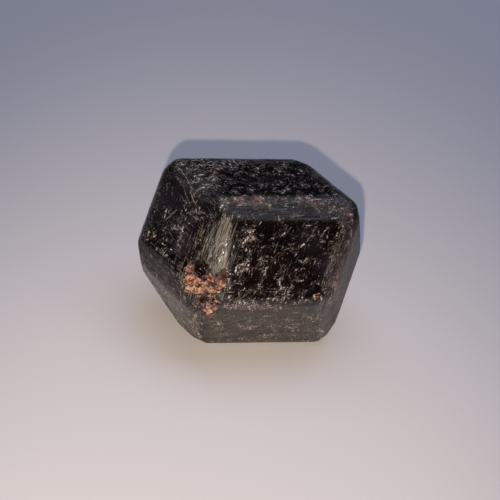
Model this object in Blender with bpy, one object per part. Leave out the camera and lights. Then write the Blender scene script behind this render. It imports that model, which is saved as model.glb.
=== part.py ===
"""Garnet crystal: one loose, water-worn rhombic dodecahedron of dark garnet.

The crystal is stretched along one of its edge directions.  Its twelve rhombic
faces are flat, its edges are bevelled by narrow striated bands, and everything
is rounded by wear.  It lies on one of its faces: +Z is up, +X runs along the
long edges, and the origin is under the middle of the crystal at table level.
"""

import itertools
import math
import random

import bmesh
import bpy
from mathutils import Matrix, Vector, noise
from mathutils.bvhtree import BVHTree

MM = 0.001

# Lengths of the four families of parallel edges, measured corner to corner
# before any bevel.  The first family is the long one.
EDGE_LONG = 21.3 * MM
EDGE_FRONT = 15.0 * MM
EDGE_TOP = 14.9 * MM
EDGE_LOW = 14.6 * MM

# Wear radius on every edge and corner, and how far each bevel band is cut in
# below the sharp edge it replaces.
WEAR_RADIUS = 1.9 * MM
BAND_DEPTH = 0.9 * MM
BAND_DEPTHS = {
    ("front", "left_high"): 1.65 * MM,
    ("front", "top"): 1.1 * MM,
    ("front", "front_low"): 0.5 * MM,
    ("front", "right_front"): 0.6 * MM,
    ("left_high", "top"): 0.45 * MM,
    ("left_high", "left_low"): 1.0 * MM,
    ("back_high", "top"): 0.5 * MM,
    ("back_high", "right_high"): 1.2 * MM,
    ("right_high", "top"): 0.45 * MM,
    ("right_front", "right_high"): 0.65 * MM,
    ("right_front", "right_low"): 1.05 * MM,
    ("front_low", "right_front"): 0.9 * MM,
    ("bottom", "front_low"): 0.4 * MM,
    ("front_low", "left_low"): 0.4 * MM,
    ("left_back", "left_high"): 0.35 * MM,
}

# The corner low on the left was lost: a flat, worn break this deep below the
# sharp corner.
BREAK_DEPTH = 6.7 * MM

# Directions of the edge families.  Any two meet at the angle of a dodecahedron.
THIRD = 1.0 / 3.0
ZONES = (
    (EDGE_LONG, Vector((1.0, 0.0, 0.0))),
    (EDGE_FRONT, Vector((-THIRD, -math.sqrt(2) * THIRD, -math.sqrt(6) * THIRD))),
    (EDGE_TOP, Vector((-THIRD, 2 * math.sqrt(2) * THIRD, 0.0))),
    (EDGE_LOW, Vector((THIRD, math.sqrt(2) * THIRD, -math.sqrt(6) * THIRD))),
)

# Which way each face looks, roughly; the exact normals come from the zones.
FACE_SIDES = {
    "top": (0, 0, 1), "bottom": (0, 0, -1),
    "front": (0, -2, 1), "back": (0, 2, -1),
    "front_low": (0, -2, -1), "back_high": (0, 2, 1),
    "left_high": (-3, -1, 2), "right_low": (3, 1, -2),
    "left_low": (-3, -1, -2), "right_high": (3, 1, 2),
    "left_back": (-3, 2, 0), "right_front": (3, -2, 0),
}

# The hollow where a crumbly inclusion weathered out, at the low end of the wide
# front-left band: places from the crystal's middle, how far it spreads across and
# along the band, the rounded bites it is made of, and the deeper hole at its top.
HOLLOW_AIM = Vector((-10.9, -12.6, 1.9)) * MM
HOLLOW_TAIL_AIM = Vector((-10.7, -14.0, -0.2)) * MM
HOLLOW_SHAPE = (1.25, 0.75)
HOLLOW_REACH = 2.3 * MM
HOLLOW_LUMPS = 9
HOLLOW_LUMP_RADII = (0.8 * MM, 1.3 * MM)
HOLLOW_HOLE_AIM = Vector((-11.5, -11.3, 4.0)) * MM
HOLLOW_HOLE_RADIUS = 0.75 * MM
HOLLOW_HOLE_DEPTH = 1.4 * MM

# Growth terraces stand this high on the faces, with slanted sides, and cover
# this share of a face.
TERRACE_HEIGHT = 0.18 * MM
TERRACE_SLANT = 0.5 * MM
TERRACE_SHARES = (0.55, 0.78)
TERRACE_LEAN = 0.2

# Striations: V grooves along the bands.  They also run on the rounded shoulders
# of a band, out to this share of the wear radius.
GROOVE_WIDTHS = (0.35 * MM, 0.7 * MM)
GROOVE_DEPTHS = (0.09 * MM, 0.2 * MM)
GROOVE_SHOULDER = 0.45 * WEAR_RADIUS
GROOVES_PER_BAND = 5
GROOVES_ON_BAND = {("front", "left_high"): 16, ("front", "top"): 9, ("front", "front_low"): 7}

# Pits on the faces and knocks along the edges; the depths are shares of a radius.
PIT_RADII = (0.25 * MM, 0.55 * MM)
PIT_DEPTH = 0.7
PITS_PER_FACE = 9
KNOCK_RADII = (0.7 * MM, 1.3 * MM)
KNOCK_DEPTH = 0.3
KNOCK_SPREAD = 6.0 * MM
KNOCK_COUNT = 14

# The worn break is scalloped by broad scars.
BREAK_SCAR_COUNT = 12
BREAK_SCAR_REACH = 5.5 * MM
BREAK_SCAR_RADII = (1.8 * MM, 3.2 * MM)
BREAK_SCAR_DEPTH = 0.35 * MM
GOLDEN_ANGLE = math.radians(137.5)

# A block this size holds the whole crystal before it is cut to shape, and a ray
# that looks for the surface starts this far outside it.
BLOCK_SIZE = 80 * MM
RAY_START = 10 * MM

# The wear follows a ball of this fineness; its points keep this far, in degrees,
# from the exact directions of the flat faces.
SPHERE_SUBDIVISIONS = 4
SPHERE_CLEARANCE = 2.5
SEED = 4

GARNET_COLOUR = (0.020, 0.014, 0.016, 1.0)
GARNET_ROUGHNESS = 0.34


def remove_everything():
    for item in list(bpy.data.objects):
        bpy.data.objects.remove(item, do_unlink=True)


def garnet_material():
    """Near-black almandine garnet with a dull, handled polish."""
    material = bpy.data.materials.new("dark garnet")
    material.use_nodes = True
    shader = material.node_tree.nodes["Principled BSDF"]
    shader.inputs["Base Color"].default_value = GARNET_COLOUR
    shader.inputs["Roughness"].default_value = GARNET_ROUGHNESS
    shader.inputs["Metallic"].default_value = 0.0
    return material


def face_planes():
    """Name -> (outward normal, distance from the centre) of the twelve faces."""
    planes = {}
    for (_, first), (_, second) in itertools.combinations(ZONES, 2):
        normal = first.cross(second).normalized()
        distance = 0.5 * sum(length * abs(zone.dot(normal)) for length, zone in ZONES)
        for outward in (normal, -normal):
            name = max(FACE_SIDES, key=lambda n: Vector(FACE_SIDES[n]).normalized().dot(outward))
            planes[name] = (outward, distance)
    return planes


def band_planes(faces):
    """(face, face) -> (normal, distance, edge direction) of the bevel bands."""
    bands = {}
    for one, other in itertools.combinations(sorted(faces), 2):
        (normal_a, distance_a), (normal_b, distance_b) = faces[one], faces[other]
        if abs(normal_a.dot(normal_b) - 0.5) > 0.01:
            continue
        # The two faces meet at 120 degrees, so their normals are 60 apart.
        share_a = (distance_a - 0.5 * distance_b) / 0.75
        share_b = (distance_b - 0.5 * distance_a) / 0.75
        ridge = share_a * normal_a + share_b * normal_b
        normal = (normal_a + normal_b).normalized()
        depth = BAND_DEPTHS.get((one, other), BAND_DEPTH)
        along = normal_a.cross(normal_b).normalized()
        bands[one, other] = (normal, ridge.dot(normal) - depth, along)
    return bands


def break_plane(faces):
    """The worn break across the corner between four faces, low on the left."""
    names = ("back", "bottom", "left_back", "left_low")
    corner = solve_corner(faces[names[0]], faces[names[1]], faces[names[3]])
    normal = sum((faces[name][0] for name in names), Vector()).normalized()
    return normal, corner.dot(normal) - BREAK_DEPTH


def solve_corner(*planes):
    """The point where three planes meet."""
    rows = Matrix([normal for normal, _ in planes])
    return rows.inverted() @ Vector([distance for _, distance in planes])


def cut_convex(planes, size):
    """A block cut down by every plane; returns its corners."""
    block = bmesh.new()
    bmesh.ops.create_cube(block, size=size)
    for normal, distance in planes:
        cut = bmesh.ops.bisect_plane(
            block, geom=block.verts[:] + block.edges[:] + block.faces[:], dist=1e-7,
            plane_co=normal * distance, plane_no=normal, clear_outer=True)
        rim = [item for item in cut["geom_cut"] if isinstance(item, bmesh.types.BMEdge)]
        bmesh.ops.edgenet_fill(block, edges=rim)
    corners = [vert.co.copy() for vert in block.verts]
    block.free()
    return corners


def sphere_directions(extra):
    """Even directions over a sphere, plus the exact normals of all planes."""
    ball = bmesh.new()
    bmesh.ops.create_icosphere(ball, subdivisions=SPHERE_SUBDIVISIONS, radius=1.0)
    directions = [vert.co.normalized() for vert in ball.verts]
    ball.free()
    nearest = math.cos(math.radians(SPHERE_CLEARANCE))
    directions = [d for d in directions if all(d.dot(normal) < nearest for normal in extra)]
    return directions + list(extra)


def rounded_solid(planes, radius):
    """The convex solid of the planes with every edge worn to the radius."""
    inner = [(normal, distance - radius) for normal, distance in planes]
    corners = cut_convex(inner, BLOCK_SIZE)
    points = []
    for direction in sphere_directions([normal for normal, _ in planes]):
        reach = max(corner.dot(direction) for corner in corners)
        points += [corner + radius * direction for corner in corners
                   if corner.dot(direction) > reach - 1e-6]
    solid = bmesh.new()
    for point in points:
        solid.verts.new(point)
    bmesh.ops.remove_doubles(solid, verts=solid.verts, dist=0.01 * MM)
    hull = bmesh.ops.convex_hull(solid, input=solid.verts)
    spare = [item for item in hull["geom_interior"] + hull["geom_unused"]
             if isinstance(item, bmesh.types.BMVert)]
    bmesh.ops.delete(solid, geom=list(set(spare)), context="VERTS")
    bmesh.ops.dissolve_limit(solid, angle_limit=math.radians(0.2),
                             verts=solid.verts, edges=solid.edges)
    bmesh.ops.recalc_face_normals(solid, faces=solid.faces)
    return solid


def flat_patch(solid, normal):
    """Corner points of the flat part that looks along the normal."""
    facing = [face for face in solid.faces if face.normal.dot(normal) > 0.9999]
    patch = max(facing, key=lambda face: face.calc_area())
    return [vert.co.copy() for vert in patch.verts]


def patch_spans(points, along, across):
    """Middle, and half length and half width, of a patch in its own directions."""
    lengths = [point.dot(along) for point in points]
    widths = [point.dot(across) for point in points]
    middle = (0.5 * (max(lengths) + min(lengths)), 0.5 * (max(widths) + min(widths)))
    return middle, 0.5 * (max(lengths) - min(lengths)), 0.5 * (max(widths) - min(widths))


def surface_at(tree, aim, normal):
    """The place on the worn surface beside an aim point, and its direction."""
    place, outward, _, _ = tree.ray_cast(aim + normal * RAY_START, -normal)
    return place, outward


def add_closed(target, points, loops):
    """Adds one closed shape to a mesh of cutters or plates."""
    verts = [target.verts.new(point) for point in points]
    for loop in loops:
        target.faces.new([verts[index] for index in loop])


def add_groove(target, place, outward, along, length, width, depth):
    """A long spindle: it cuts a V groove that runs out at both ends."""
    across = along.cross(outward).normalized()
    axis = place + outward * 0.35 * depth
    points = [
        axis - along * length / 2,
        axis + along * length / 2,
        axis - across * width / 2,
        axis + across * width / 2,
        place - outward * depth,
        axis + outward * depth,
    ]
    loops = []
    for end, flip in ((0, False), (1, True)):
        for one, other in ((2, 4), (4, 3), (3, 5), (5, 2)):
            loops.append((end, other, one) if flip else (end, one, other))
    add_closed(target, points, loops)


def add_lump(target, place, outward, radii, depth, rough, rng, subdivisions=1):
    """A rough ball sunk to the given depth: it cuts a pit, a knock or a scar."""
    turn = outward.to_track_quat("Z", "Y").to_matrix()
    spin = Matrix.Rotation(rng.uniform(0, math.tau), 3, "Z")
    height = max(radii)
    ball = bmesh.new()
    bmesh.ops.create_icosphere(ball, subdivisions=subdivisions, radius=1.0)
    shift = Vector((rng.uniform(-9, 9), rng.uniform(-9, 9), rng.uniform(-9, 9)))
    for vert in ball.verts:
        swell = 1.0 + rough * noise.noise(vert.co * 2.2 + shift)
        shaped = Vector((vert.co.x * radii[0], vert.co.y * radii[1], vert.co.z * height)) * swell
        vert.co = place + turn @ (spin @ shaped) + outward * (height - depth)
    loops = [tuple(vert.index for vert in face.verts) for face in ball.faces]
    points = [vert.co.copy() for vert in ball.verts]
    ball.free()
    add_closed(target, points, loops)


def growth_terraces(solid, faces, rng):
    """Low plates with slanted sides, set off-centre on every face but the base."""
    plates = bmesh.new()
    for name, (normal, _) in faces.items():
        if name == "bottom":
            continue
        rim = flat_patch(solid, normal)
        middle = sum(rim, Vector()) / len(rim)
        centre = middle + (rim[0] - middle) * rng.uniform(-TERRACE_LEAN, TERRACE_LEAN)
        share = rng.uniform(*TERRACE_SHARES)
        outline = [centre + (point - middle) * share * rng.uniform(0.93, 1.03) for point in rim]
        ring = len(outline)
        slants = [(centre - point).normalized() * TERRACE_SLANT for point in outline]
        foot = [point - normal * TERRACE_SLANT - slant for point, slant in zip(outline, slants)]
        top = [point + normal * TERRACE_HEIGHT + slant for point, slant in zip(outline, slants)]
        loops = [tuple(range(ring))[::-1], tuple(range(ring, 2 * ring))]
        loops += [(i, (i + 1) % ring, ring + (i + 1) % ring, ring + i) for i in range(ring)]
        add_closed(plates, foot + top, loops)
    return plates


def striations(solid, tree, bands, rng):
    """V grooves along every band, most of them on the wide front-left one."""
    cutters = bmesh.new()
    for name, (normal, _, along) in bands.items():
        across = along.cross(normal)
        rim = flat_patch(solid, normal)
        level = rim[0].dot(normal)
        (mid_along, mid_across), half_length, half_width = patch_spans(rim, along, across)
        half_width += GROOVE_SHOULDER
        count = GROOVES_ON_BAND.get(name, GROOVES_PER_BAND)
        for index in range(count):
            offset = half_width * ((index + rng.uniform(0.2, 0.8)) / count * 2 - 1)
            shift = half_length * rng.uniform(-0.35, 0.35)
            length = 2 * (half_length - abs(shift)) * rng.uniform(0.55, 0.95)
            aim = along * (mid_along + shift) + across * (mid_across + offset) + normal * level
            place, outward = surface_at(tree, aim, normal)
            width = rng.uniform(*GROOVE_WIDTHS)
            depth = rng.uniform(*GROOVE_DEPTHS)
            add_groove(cutters, place, outward, along, length, width, depth)
    return cutters


def pits_and_knocks(solid, tree, faces, bands, rng):
    """Etch pits on the faces, and knocks worn into the edges."""
    cutters = bmesh.new()
    for name, (normal, _) in faces.items():
        if name == "bottom":
            continue
        rim = flat_patch(solid, normal)
        middle = sum(rim, Vector()) / len(rim)
        for _ in range(PITS_PER_FACE):
            spot = middle + (rng.choice(rim) - middle) * rng.uniform(0.25, 1.0)
            spot += (rng.choice(rim) - middle) * rng.uniform(0.0, 0.35)
            place, outward = surface_at(tree, spot, normal)
            radius = rng.uniform(*PIT_RADII)
            radii = (radius * rng.uniform(1.0, 1.7), radius)
            add_lump(cutters, place, outward, radii, radius * PIT_DEPTH, 0.3, rng)
    names = [name for name in bands if "bottom" not in name]
    for _ in range(KNOCK_COUNT):
        normal, distance, along = bands[rng.choice(names)]
        aim = normal * distance + along * rng.uniform(-KNOCK_SPREAD, KNOCK_SPREAD)
        place, outward = surface_at(tree, aim, normal)
        radius = rng.uniform(*KNOCK_RADII)
        radii = (radius * rng.uniform(1.2, 1.9), radius)
        add_lump(cutters, place, outward, radii, radius * KNOCK_DEPTH, 0.35, rng, subdivisions=2)
    return cutters


def scatter(middle, side, other, reach, count, rng):
    """Aim points spread over a disc in a sunflower spiral, a little uneven."""
    for index in range(count):
        angle = index * GOLDEN_ANGLE + rng.uniform(-0.3, 0.3)
        radius = reach * math.sqrt((index + 0.5) / count)
        yield middle + (side * math.cos(angle) + other * math.sin(angle)) * radius


def break_scars(tree, normal, distance, rng):
    """Broad, shallow, shell-shaped scars over the worn break."""
    cutters = bmesh.new()
    side = normal.orthogonal().normalized()
    other = normal.cross(side)
    for aim in scatter(normal * distance, side, other, BREAK_SCAR_REACH, BREAK_SCAR_COUNT, rng):
        place, outward = surface_at(tree, aim, normal)
        radius = rng.uniform(*BREAK_SCAR_RADII)
        radii = (radius * rng.uniform(1.1, 1.6), radius)
        add_lump(cutters, place, outward, radii, BREAK_SCAR_DEPTH, 0.25, rng, subdivisions=2)
    return cutters


def weathered_hollow(tree, bands, rng):
    """The rough hollow at the low end of the wide band, with its deeper hole."""
    cutters = bmesh.new()
    normal, _, along = bands["front", "left_high"]
    across = along.cross(normal)
    main = scatter(HOLLOW_AIM, across * HOLLOW_SHAPE[0], along * HOLLOW_SHAPE[1],
                   HOLLOW_REACH, HOLLOW_LUMPS, rng)
    tail = scatter(HOLLOW_TAIL_AIM, across, along, HOLLOW_REACH * 0.5, HOLLOW_LUMPS // 2, rng)
    for aim in itertools.chain(main, tail):
        place, outward = surface_at(tree, aim, normal)
        radius = rng.uniform(*HOLLOW_LUMP_RADII)
        radii = (radius * rng.uniform(1.0, 1.5), radius)
        depth = radius * rng.uniform(0.45, 0.75)
        add_lump(cutters, place, outward, radii, depth, 0.4, rng, subdivisions=2)
    place, outward = surface_at(tree, HOLLOW_HOLE_AIM, normal)
    radii = (HOLLOW_HOLE_RADIUS, HOLLOW_HOLE_RADIUS * 1.2)
    add_lump(cutters, place, outward, radii, HOLLOW_HOLE_DEPTH, 0.3, rng, subdivisions=2)
    return cutters


def place_object(name, shape, offset):
    """A finished mesh object; the offset brings the base to table level."""
    bmesh.ops.translate(shape, vec=offset, verts=shape.verts)
    bmesh.ops.recalc_face_normals(shape, faces=shape.faces)
    mesh = bpy.data.meshes.new(name)
    shape.to_mesh(mesh)
    shape.free()
    item = bpy.data.objects.new(name, mesh)
    bpy.context.scene.collection.objects.link(item)
    return item


def cut_with(body, name, shape, offset, operation):
    """Keeps the cutter as a hidden guide and joins it to the body's stack."""
    cutter = place_object(name, shape, offset)
    cutter.hide_render = True
    cutter.display_type = "WIRE"
    step = body.modifiers.new(name, "BOOLEAN")
    step.operation = operation
    step.solver = "EXACT"
    step.use_self = True
    step.object = cutter


def base_middle(solid):
    """The point under the middle of the crystal, on its lowest plane."""
    low = Vector([min(vert.co[axis] for vert in solid.verts) for axis in range(3)])
    high = Vector([max(vert.co[axis] for vert in solid.verts) for axis in range(3)])
    return Vector(((low.x + high.x) / 2, (low.y + high.y) / 2, low.z))


def build_garnet():
    rng = random.Random(SEED)
    faces = face_planes()
    bands = band_planes(faces)
    worn_break = break_plane(faces)
    planes = list(faces.values()) + [band[:2] for band in bands.values()] + [worn_break]
    solid = rounded_solid(planes, WEAR_RADIUS)
    tree = BVHTree.FromBMesh(solid)
    offset = -base_middle(solid)

    terraces = growth_terraces(solid, faces, rng)
    grooves = striations(solid, tree, bands, rng)
    pits = pits_and_knocks(solid, tree, faces, bands, rng)
    scars = break_scars(tree, *worn_break, rng)
    hollow = weathered_hollow(tree, bands, rng)

    garnet = place_object("garnet_crystal", solid, offset)
    garnet.data.materials.append(garnet_material())
    cut_with(garnet, "growth_terraces", terraces, offset, "UNION")
    cut_with(garnet, "break_scars", scars, offset, "DIFFERENCE")
    cut_with(garnet, "striations", grooves, offset, "DIFFERENCE")
    cut_with(garnet, "pits_and_knocks", pits, offset, "DIFFERENCE")
    cut_with(garnet, "weathered_hollow", hollow, offset, "DIFFERENCE")
    return garnet


remove_everything()
build_garnet()
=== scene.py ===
"""Looks of the garnet crystal: its worn surface, finish, floor, light and camera."""
import functools
import itertools
import math

import bpy
import numpy as np
from mathutils import Matrix, Vector


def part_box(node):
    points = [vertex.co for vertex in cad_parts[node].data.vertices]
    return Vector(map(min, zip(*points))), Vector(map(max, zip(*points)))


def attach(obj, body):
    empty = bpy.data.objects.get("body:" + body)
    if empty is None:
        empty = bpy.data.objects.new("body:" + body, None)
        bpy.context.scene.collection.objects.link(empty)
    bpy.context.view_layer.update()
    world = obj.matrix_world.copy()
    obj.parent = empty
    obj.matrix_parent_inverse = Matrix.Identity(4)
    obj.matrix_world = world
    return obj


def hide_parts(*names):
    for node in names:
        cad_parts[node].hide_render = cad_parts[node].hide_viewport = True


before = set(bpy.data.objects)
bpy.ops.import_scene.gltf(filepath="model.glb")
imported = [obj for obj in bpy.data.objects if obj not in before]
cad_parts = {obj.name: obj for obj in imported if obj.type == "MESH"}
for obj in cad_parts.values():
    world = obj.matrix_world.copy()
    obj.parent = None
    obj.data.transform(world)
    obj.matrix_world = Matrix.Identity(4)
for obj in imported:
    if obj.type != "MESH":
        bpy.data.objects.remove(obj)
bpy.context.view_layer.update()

MM = 0.001


# --------------------------------------------------
# The crystal's body.  One stone of almandine garnet, a rhombic dodecahedron
# stretched along its long edges, with bevelled edges that a stream has rounded.

# Lengths of the four families of parallel edges, corner to corner.
EDGE_LONG = 21.3 * MM
EDGE_FRONT = 15.0 * MM
EDGE_TOP = 14.9 * MM
EDGE_LOW = 14.6 * MM

WEAR_RADIUS = 1.9 * MM
BREAK_DEPTH = 6.7 * MM
# Millimetres that each bevel band lies below the ridge it replaces, 0.9 where none is given.
BAND_DEPTH = 0.9
BAND_DEPTHS = {
    ("front", "left_high"): 1.65, ("front", "top"): 1.1, ("front", "front_low"): 0.15,
    ("front", "right_front"): 0.6, ("back", "back_high"): 1.25, ("left_high", "top"): 0.45,
    ("left_high", "left_low"): 1.0, ("back_high", "top"): 0.5, ("back_high", "right_high"): 1.2,
    ("right_high", "top"): 0.45, ("right_front", "right_high"): 0.65,
    ("right_front", "right_low"): 1.05, ("front_low", "right_front"): 0.9,
    ("bottom", "front_low"): 0.25, ("front_low", "left_low"): 0.4, ("left_back", "left_high"): 0.35,
}

# The widest band leans to the left by these degrees and is worn round, bowed by these
# degrees along its length, with a second bevel towards the front.
BAND_LEAN = 14.0
BAND_BOW = 4.0
SECOND_BEVEL = 0.44 * MM

ZONE_LENGTHS = np.array([EDGE_LONG, EDGE_FRONT, EDGE_TOP, EDGE_LOW])
ZONES = np.array([
    [3.0, 0.0, 0.0],
    [-1.0, -math.sqrt(2), -math.sqrt(6)],
    [-1.0, 2 * math.sqrt(2), 0.0],
    [1.0, math.sqrt(2), -math.sqrt(6)],
]) / 3.0

FACE_SIDES = {
    "top": (0, 0, 1), "bottom": (0, 0, -1),
    "front": (0, -2, 1), "back": (0, 2, -1),
    "front_low": (0, -2, -1), "back_high": (0, 2, 1),
    "left_high": (-3, -1, 2), "right_low": (3, 1, -2),
    "left_low": (-3, -1, -2), "right_high": (3, 1, 2),
    "left_back": (-3, 2, 0), "right_front": (3, -2, 0),
}


def unit(vector):
    vector = np.asarray(vector, dtype=float)
    return vector / np.linalg.norm(vector)


def face_planes():
    """Name -> (normal, distance) of the twelve rhombic faces."""
    planes = {}
    for i, j in itertools.combinations(range(4), 2):
        normal = unit(np.cross(ZONES[i], ZONES[j]))
        distance = 0.5 * float(ZONE_LENGTHS @ np.abs(ZONES @ normal))
        for outward in (normal, -normal):
            name = max(FACE_SIDES, key=lambda n: unit(FACE_SIDES[n]) @ outward)
            planes[name] = (outward, distance)
    return planes


def bevel(one, other, depth):
    """The plane that takes the ridge off between two planes, depth below the ridge."""
    (normal_a, distance_a), (normal_b, distance_b) = one, other
    turn = normal_a @ normal_b
    share_a = (distance_a - turn * distance_b) / (1 - turn ** 2)
    share_b = (distance_b - turn * distance_a) / (1 - turn ** 2)
    normal = unit(normal_a + normal_b)
    return normal, (share_a * normal_a + share_b * normal_b) @ normal - depth


def lean(plane, towards, degrees):
    """The plane turned about the ridge it shares with another plane, towards that one."""
    (normal_a, distance_a), (normal_b, distance_b) = plane, towards
    angle, turn = math.acos(normal_a @ normal_b), math.radians(degrees)
    share_a, share_b = math.sin(angle - turn) / math.sin(angle), math.sin(turn) / math.sin(angle)
    return share_a * normal_a + share_b * normal_b, share_a * distance_a + share_b * distance_b


def band_planes(faces):
    """(face, face) -> (normal, distance, edge family) of the bevel bands."""
    bands = {}
    for one, other in itertools.combinations(sorted(faces), 2):
        # Faces that share an edge have normals 60 degrees apart.
        if abs(faces[one][0] @ faces[other][0] - 0.5) > 0.01:
            continue
        depth = BAND_DEPTHS.get((one, other), BAND_DEPTH) * MM
        edge = unit(np.cross(faces[one][0], faces[other][0]))
        band = bevel(faces[one], faces[other], depth)
        if (one, other) == ("front", "left_high"):
            band = lean(band, faces[other], BAND_LEAN)
        bands[one, other] = (*band, int(np.argmax(np.abs(ZONES @ edge))))
    return bands


def break_plane(faces):
    """The worn break across the lost corner, low on the left."""
    sides = [faces[name] for name in ("back", "bottom", "left_back", "left_low")]
    normals, distances = (np.array(column) for column in zip(*sides))
    corner = np.linalg.lstsq(normals, distances, rcond=None)[0]
    normal = unit(sum(n for n, _ in sides))
    return normal, corner @ normal - BREAK_DEPTH


def corners_of(planes):
    """Every point where three planes meet and no other plane cuts it off."""
    normals = np.array([n for n, _ in planes])
    distances = np.array([d for _, d in planes])
    threes = np.array(list(itertools.combinations(range(len(planes)), 3)))
    sides = normals[threes]
    sound = np.abs(np.linalg.det(sides)) > 1e-3
    points = np.linalg.solve(sides[sound], distances[threes[sound]][..., None])[..., 0]
    kept = np.all(points @ normals.T <= distances + 1e-8, axis=1)
    return points[kept]


faces = face_planes()
bands = band_planes(faces)
worn_break = break_plane(faces)
planes = list(faces.values()) + [band[:2] for band in bands.values()] + [worn_break]
wide_plane = bands["front", "left_high"][:2]
second_plane = bevel(faces["front"], wide_plane, SECOND_BEVEL)
planes.append(second_plane)
# Below its middle the widest band is worn a little further, so that it bows along its length.
bow_corner = np.linalg.solve(
    [wide_plane[0], second_plane[0], ZONES[1]], [wide_plane[1], second_plane[1], 0.0])
wide_planes = [wide_plane]
for normal, _ in (wide_plane, second_plane):
    bowed = unit(normal + math.tan(math.radians(BAND_BOW)) * ZONES[1])
    wide_planes.append((bowed, bowed @ bow_corner))
planes += wide_planes[1:]


def add_node(tree, kind, sources=(), **settings):
    """Adds a node; sources maps its inputs to links or values, settings its own fields."""
    node = tree.nodes.new(kind)
    for field, value in settings.items():
        setattr(node, field, value)
    for socket, source in dict(sources).items():
        if isinstance(source, bpy.types.NodeSocket):
            tree.links.new(source, node.inputs[socket])
        else:
            node.inputs[socket].default_value = source
    return node


def geometry_tree(name, inputs):
    """An empty Geometry Nodes tree with a mesh in, a mesh out and named inputs."""
    tree = bpy.data.node_groups.new(name, "GeometryNodeTree")
    tree.interface.new_socket("Geometry", in_out="INPUT", socket_type="NodeSocketGeometry")
    tree.interface.new_socket("Geometry", in_out="OUTPUT", socket_type="NodeSocketGeometry")
    for label, kind, value in inputs:
        socket = tree.interface.new_socket(label, in_out="INPUT", socket_type=kind)
        socket.default_value = value
    return tree


def grow(item, tree, values=()):
    """Runs a tree on an object and keeps the result as its plain mesh."""
    step = item.modifiers.new(tree.name, "NODES")
    step.node_group = tree
    identifiers = {s.name: s.identifier for s in tree.interface.items_tree if s.in_out == "INPUT"}
    for label, value in dict(values).items():
        step[identifiers[label]] = value
    keep_result(item)


def keep_result(item):
    """Turns what the object's modifiers show into its plain mesh."""
    bpy.context.view_layer.update()
    shown = item.evaluated_get(bpy.context.evaluated_depsgraph_get())
    result = bpy.data.meshes.new_from_object(shown)
    item.modifiers.clear()
    item.data = result


# How finely the ball's own facets round the edges.
BALL_STEPS = 5


def wear_tree():
    """Rolls a ball over every corner and wraps the lot: edges worn to one radius."""
    tree = geometry_tree("wear to a radius", [("Wear radius", "NodeSocketFloat", WEAR_RADIUS)])
    start = tree.nodes.new("NodeGroupInput")
    ball = add_node(tree, "GeometryNodeMeshIcoSphere",
                    {"Radius": start.outputs["Wear radius"], "Subdivisions": BALL_STEPS})
    points = add_node(tree, "GeometryNodeMeshToPoints", {"Mesh": start.outputs["Geometry"]})
    balls = add_node(tree, "GeometryNodeInstanceOnPoints",
                     {"Points": points.outputs["Points"], "Instance": ball.outputs["Mesh"]})
    solid = add_node(tree, "GeometryNodeRealizeInstances", {"Geometry": balls.outputs["Instances"]})
    hull = add_node(tree, "GeometryNodeConvexHull", {"Geometry": solid.outputs["Geometry"]})
    add_node(tree, "NodeGroupOutput", {"Geometry": hull.outputs["Convex Hull"]})
    return tree


VOXEL = 0.2 * MM
# The relief only cuts, so the body starts this much fuller.
RELIEF_ROOM = 0.07 * MM

low_corner, high_corner = (np.array(corner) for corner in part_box("garnet_crystal"))
inner_corners = corners_of([(n, d - WEAR_RADIUS) for n, d in planes])
reach_low = inner_corners.min(axis=0) - WEAR_RADIUS - RELIEF_ROOM
reach_high = inner_corners.max(axis=0) + WEAR_RADIUS + RELIEF_ROOM
# From the crystal's middle to its place in the frame, where it lies on its base.
lift = (low_corner + high_corner) / 2 - (reach_low + reach_high) / 2
lift[2] = low_corner[2] - reach_low[2]

seed_mesh = bpy.data.meshes.new("garnet")
seed_mesh.from_pydata([tuple(point) for point in inner_corners], [], [])
garnet = bpy.data.objects.new("garnet", seed_mesh)
bpy.context.scene.collection.objects.link(garnet)
grow(garnet, wear_tree(), {"Wear radius": WEAR_RADIUS + RELIEF_ROOM})

even_grid = garnet.modifiers.new("even grid", "REMESH")
even_grid.mode = "VOXEL"
even_grid.voxel_size = VOXEL
even_grid.adaptivity = 0.0
keep_result(garnet)


# --------------------------------------------------
# Where the surface differs.  Each part of the stone carries its own wear: which
# way its growth lines run, how worn its edges are, how thick the pale flecks lie.

def vertex_places(item):
    places = np.empty(len(item.data.vertices) * 3)
    item.data.vertices.foreach_get("co", places)
    return places.reshape(-1, 3)


def keep_on_vertices(item, name, values):
    layer = item.data.attributes.new(name, "FLOAT", "POINT")
    layer.data.foreach_set("value", np.ascontiguousarray(values, dtype=np.float32))


def ramp(values, start, end):
    """0 at start, 1 at end, smooth between."""
    t = np.clip((values - start) / (end - start), 0.0, 1.0)
    return t * t * (3 - 2 * t)


def face_frame(name):
    """A face's middle, and its own right and up as seen from outside."""
    normal, distance = faces[name]
    right = np.cross((0, 0, 1), normal)
    right = unit(right) if np.linalg.norm(right) > 1e-6 else np.array([1.0, 0.0, 0.0])
    return normal * distance, right, np.cross(normal, right)


def patch(name, x, y, wide, high, turn=0.0, soft=0.65, reach=3.0):
    """1 at a place on a face, falling to 0 at the rim of an ellipse; all in millimetres."""
    across, up, below = on_face[name]
    angle = math.radians(turn)
    away_x, away_y = across - x, up - y
    along = away_x * math.cos(angle) + away_y * math.sin(angle)
    aside = away_y * math.cos(angle) - away_x * math.sin(angle)
    distance = np.sqrt((2 * along / wide) ** 2 + (2 * aside / high) ** 2 + (below / reach) ** 2)
    return 1 - ramp(distance, 1.0 - soft, 1.0)


def laid(patches, start=0.0):
    """The strongest of start and every patch; a patch's last number is its own strength."""
    total = np.zeros(len(places)) + start
    for *where, share in patches:
        total = np.maximum(total, share * patch(*where))
    return total


def near_face(name, start, end):
    """0 to 1 between two heights over a face's plane, in millimetres."""
    return ramp(heights[:, face_names.index(name)], start * MM, end * MM)


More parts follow.
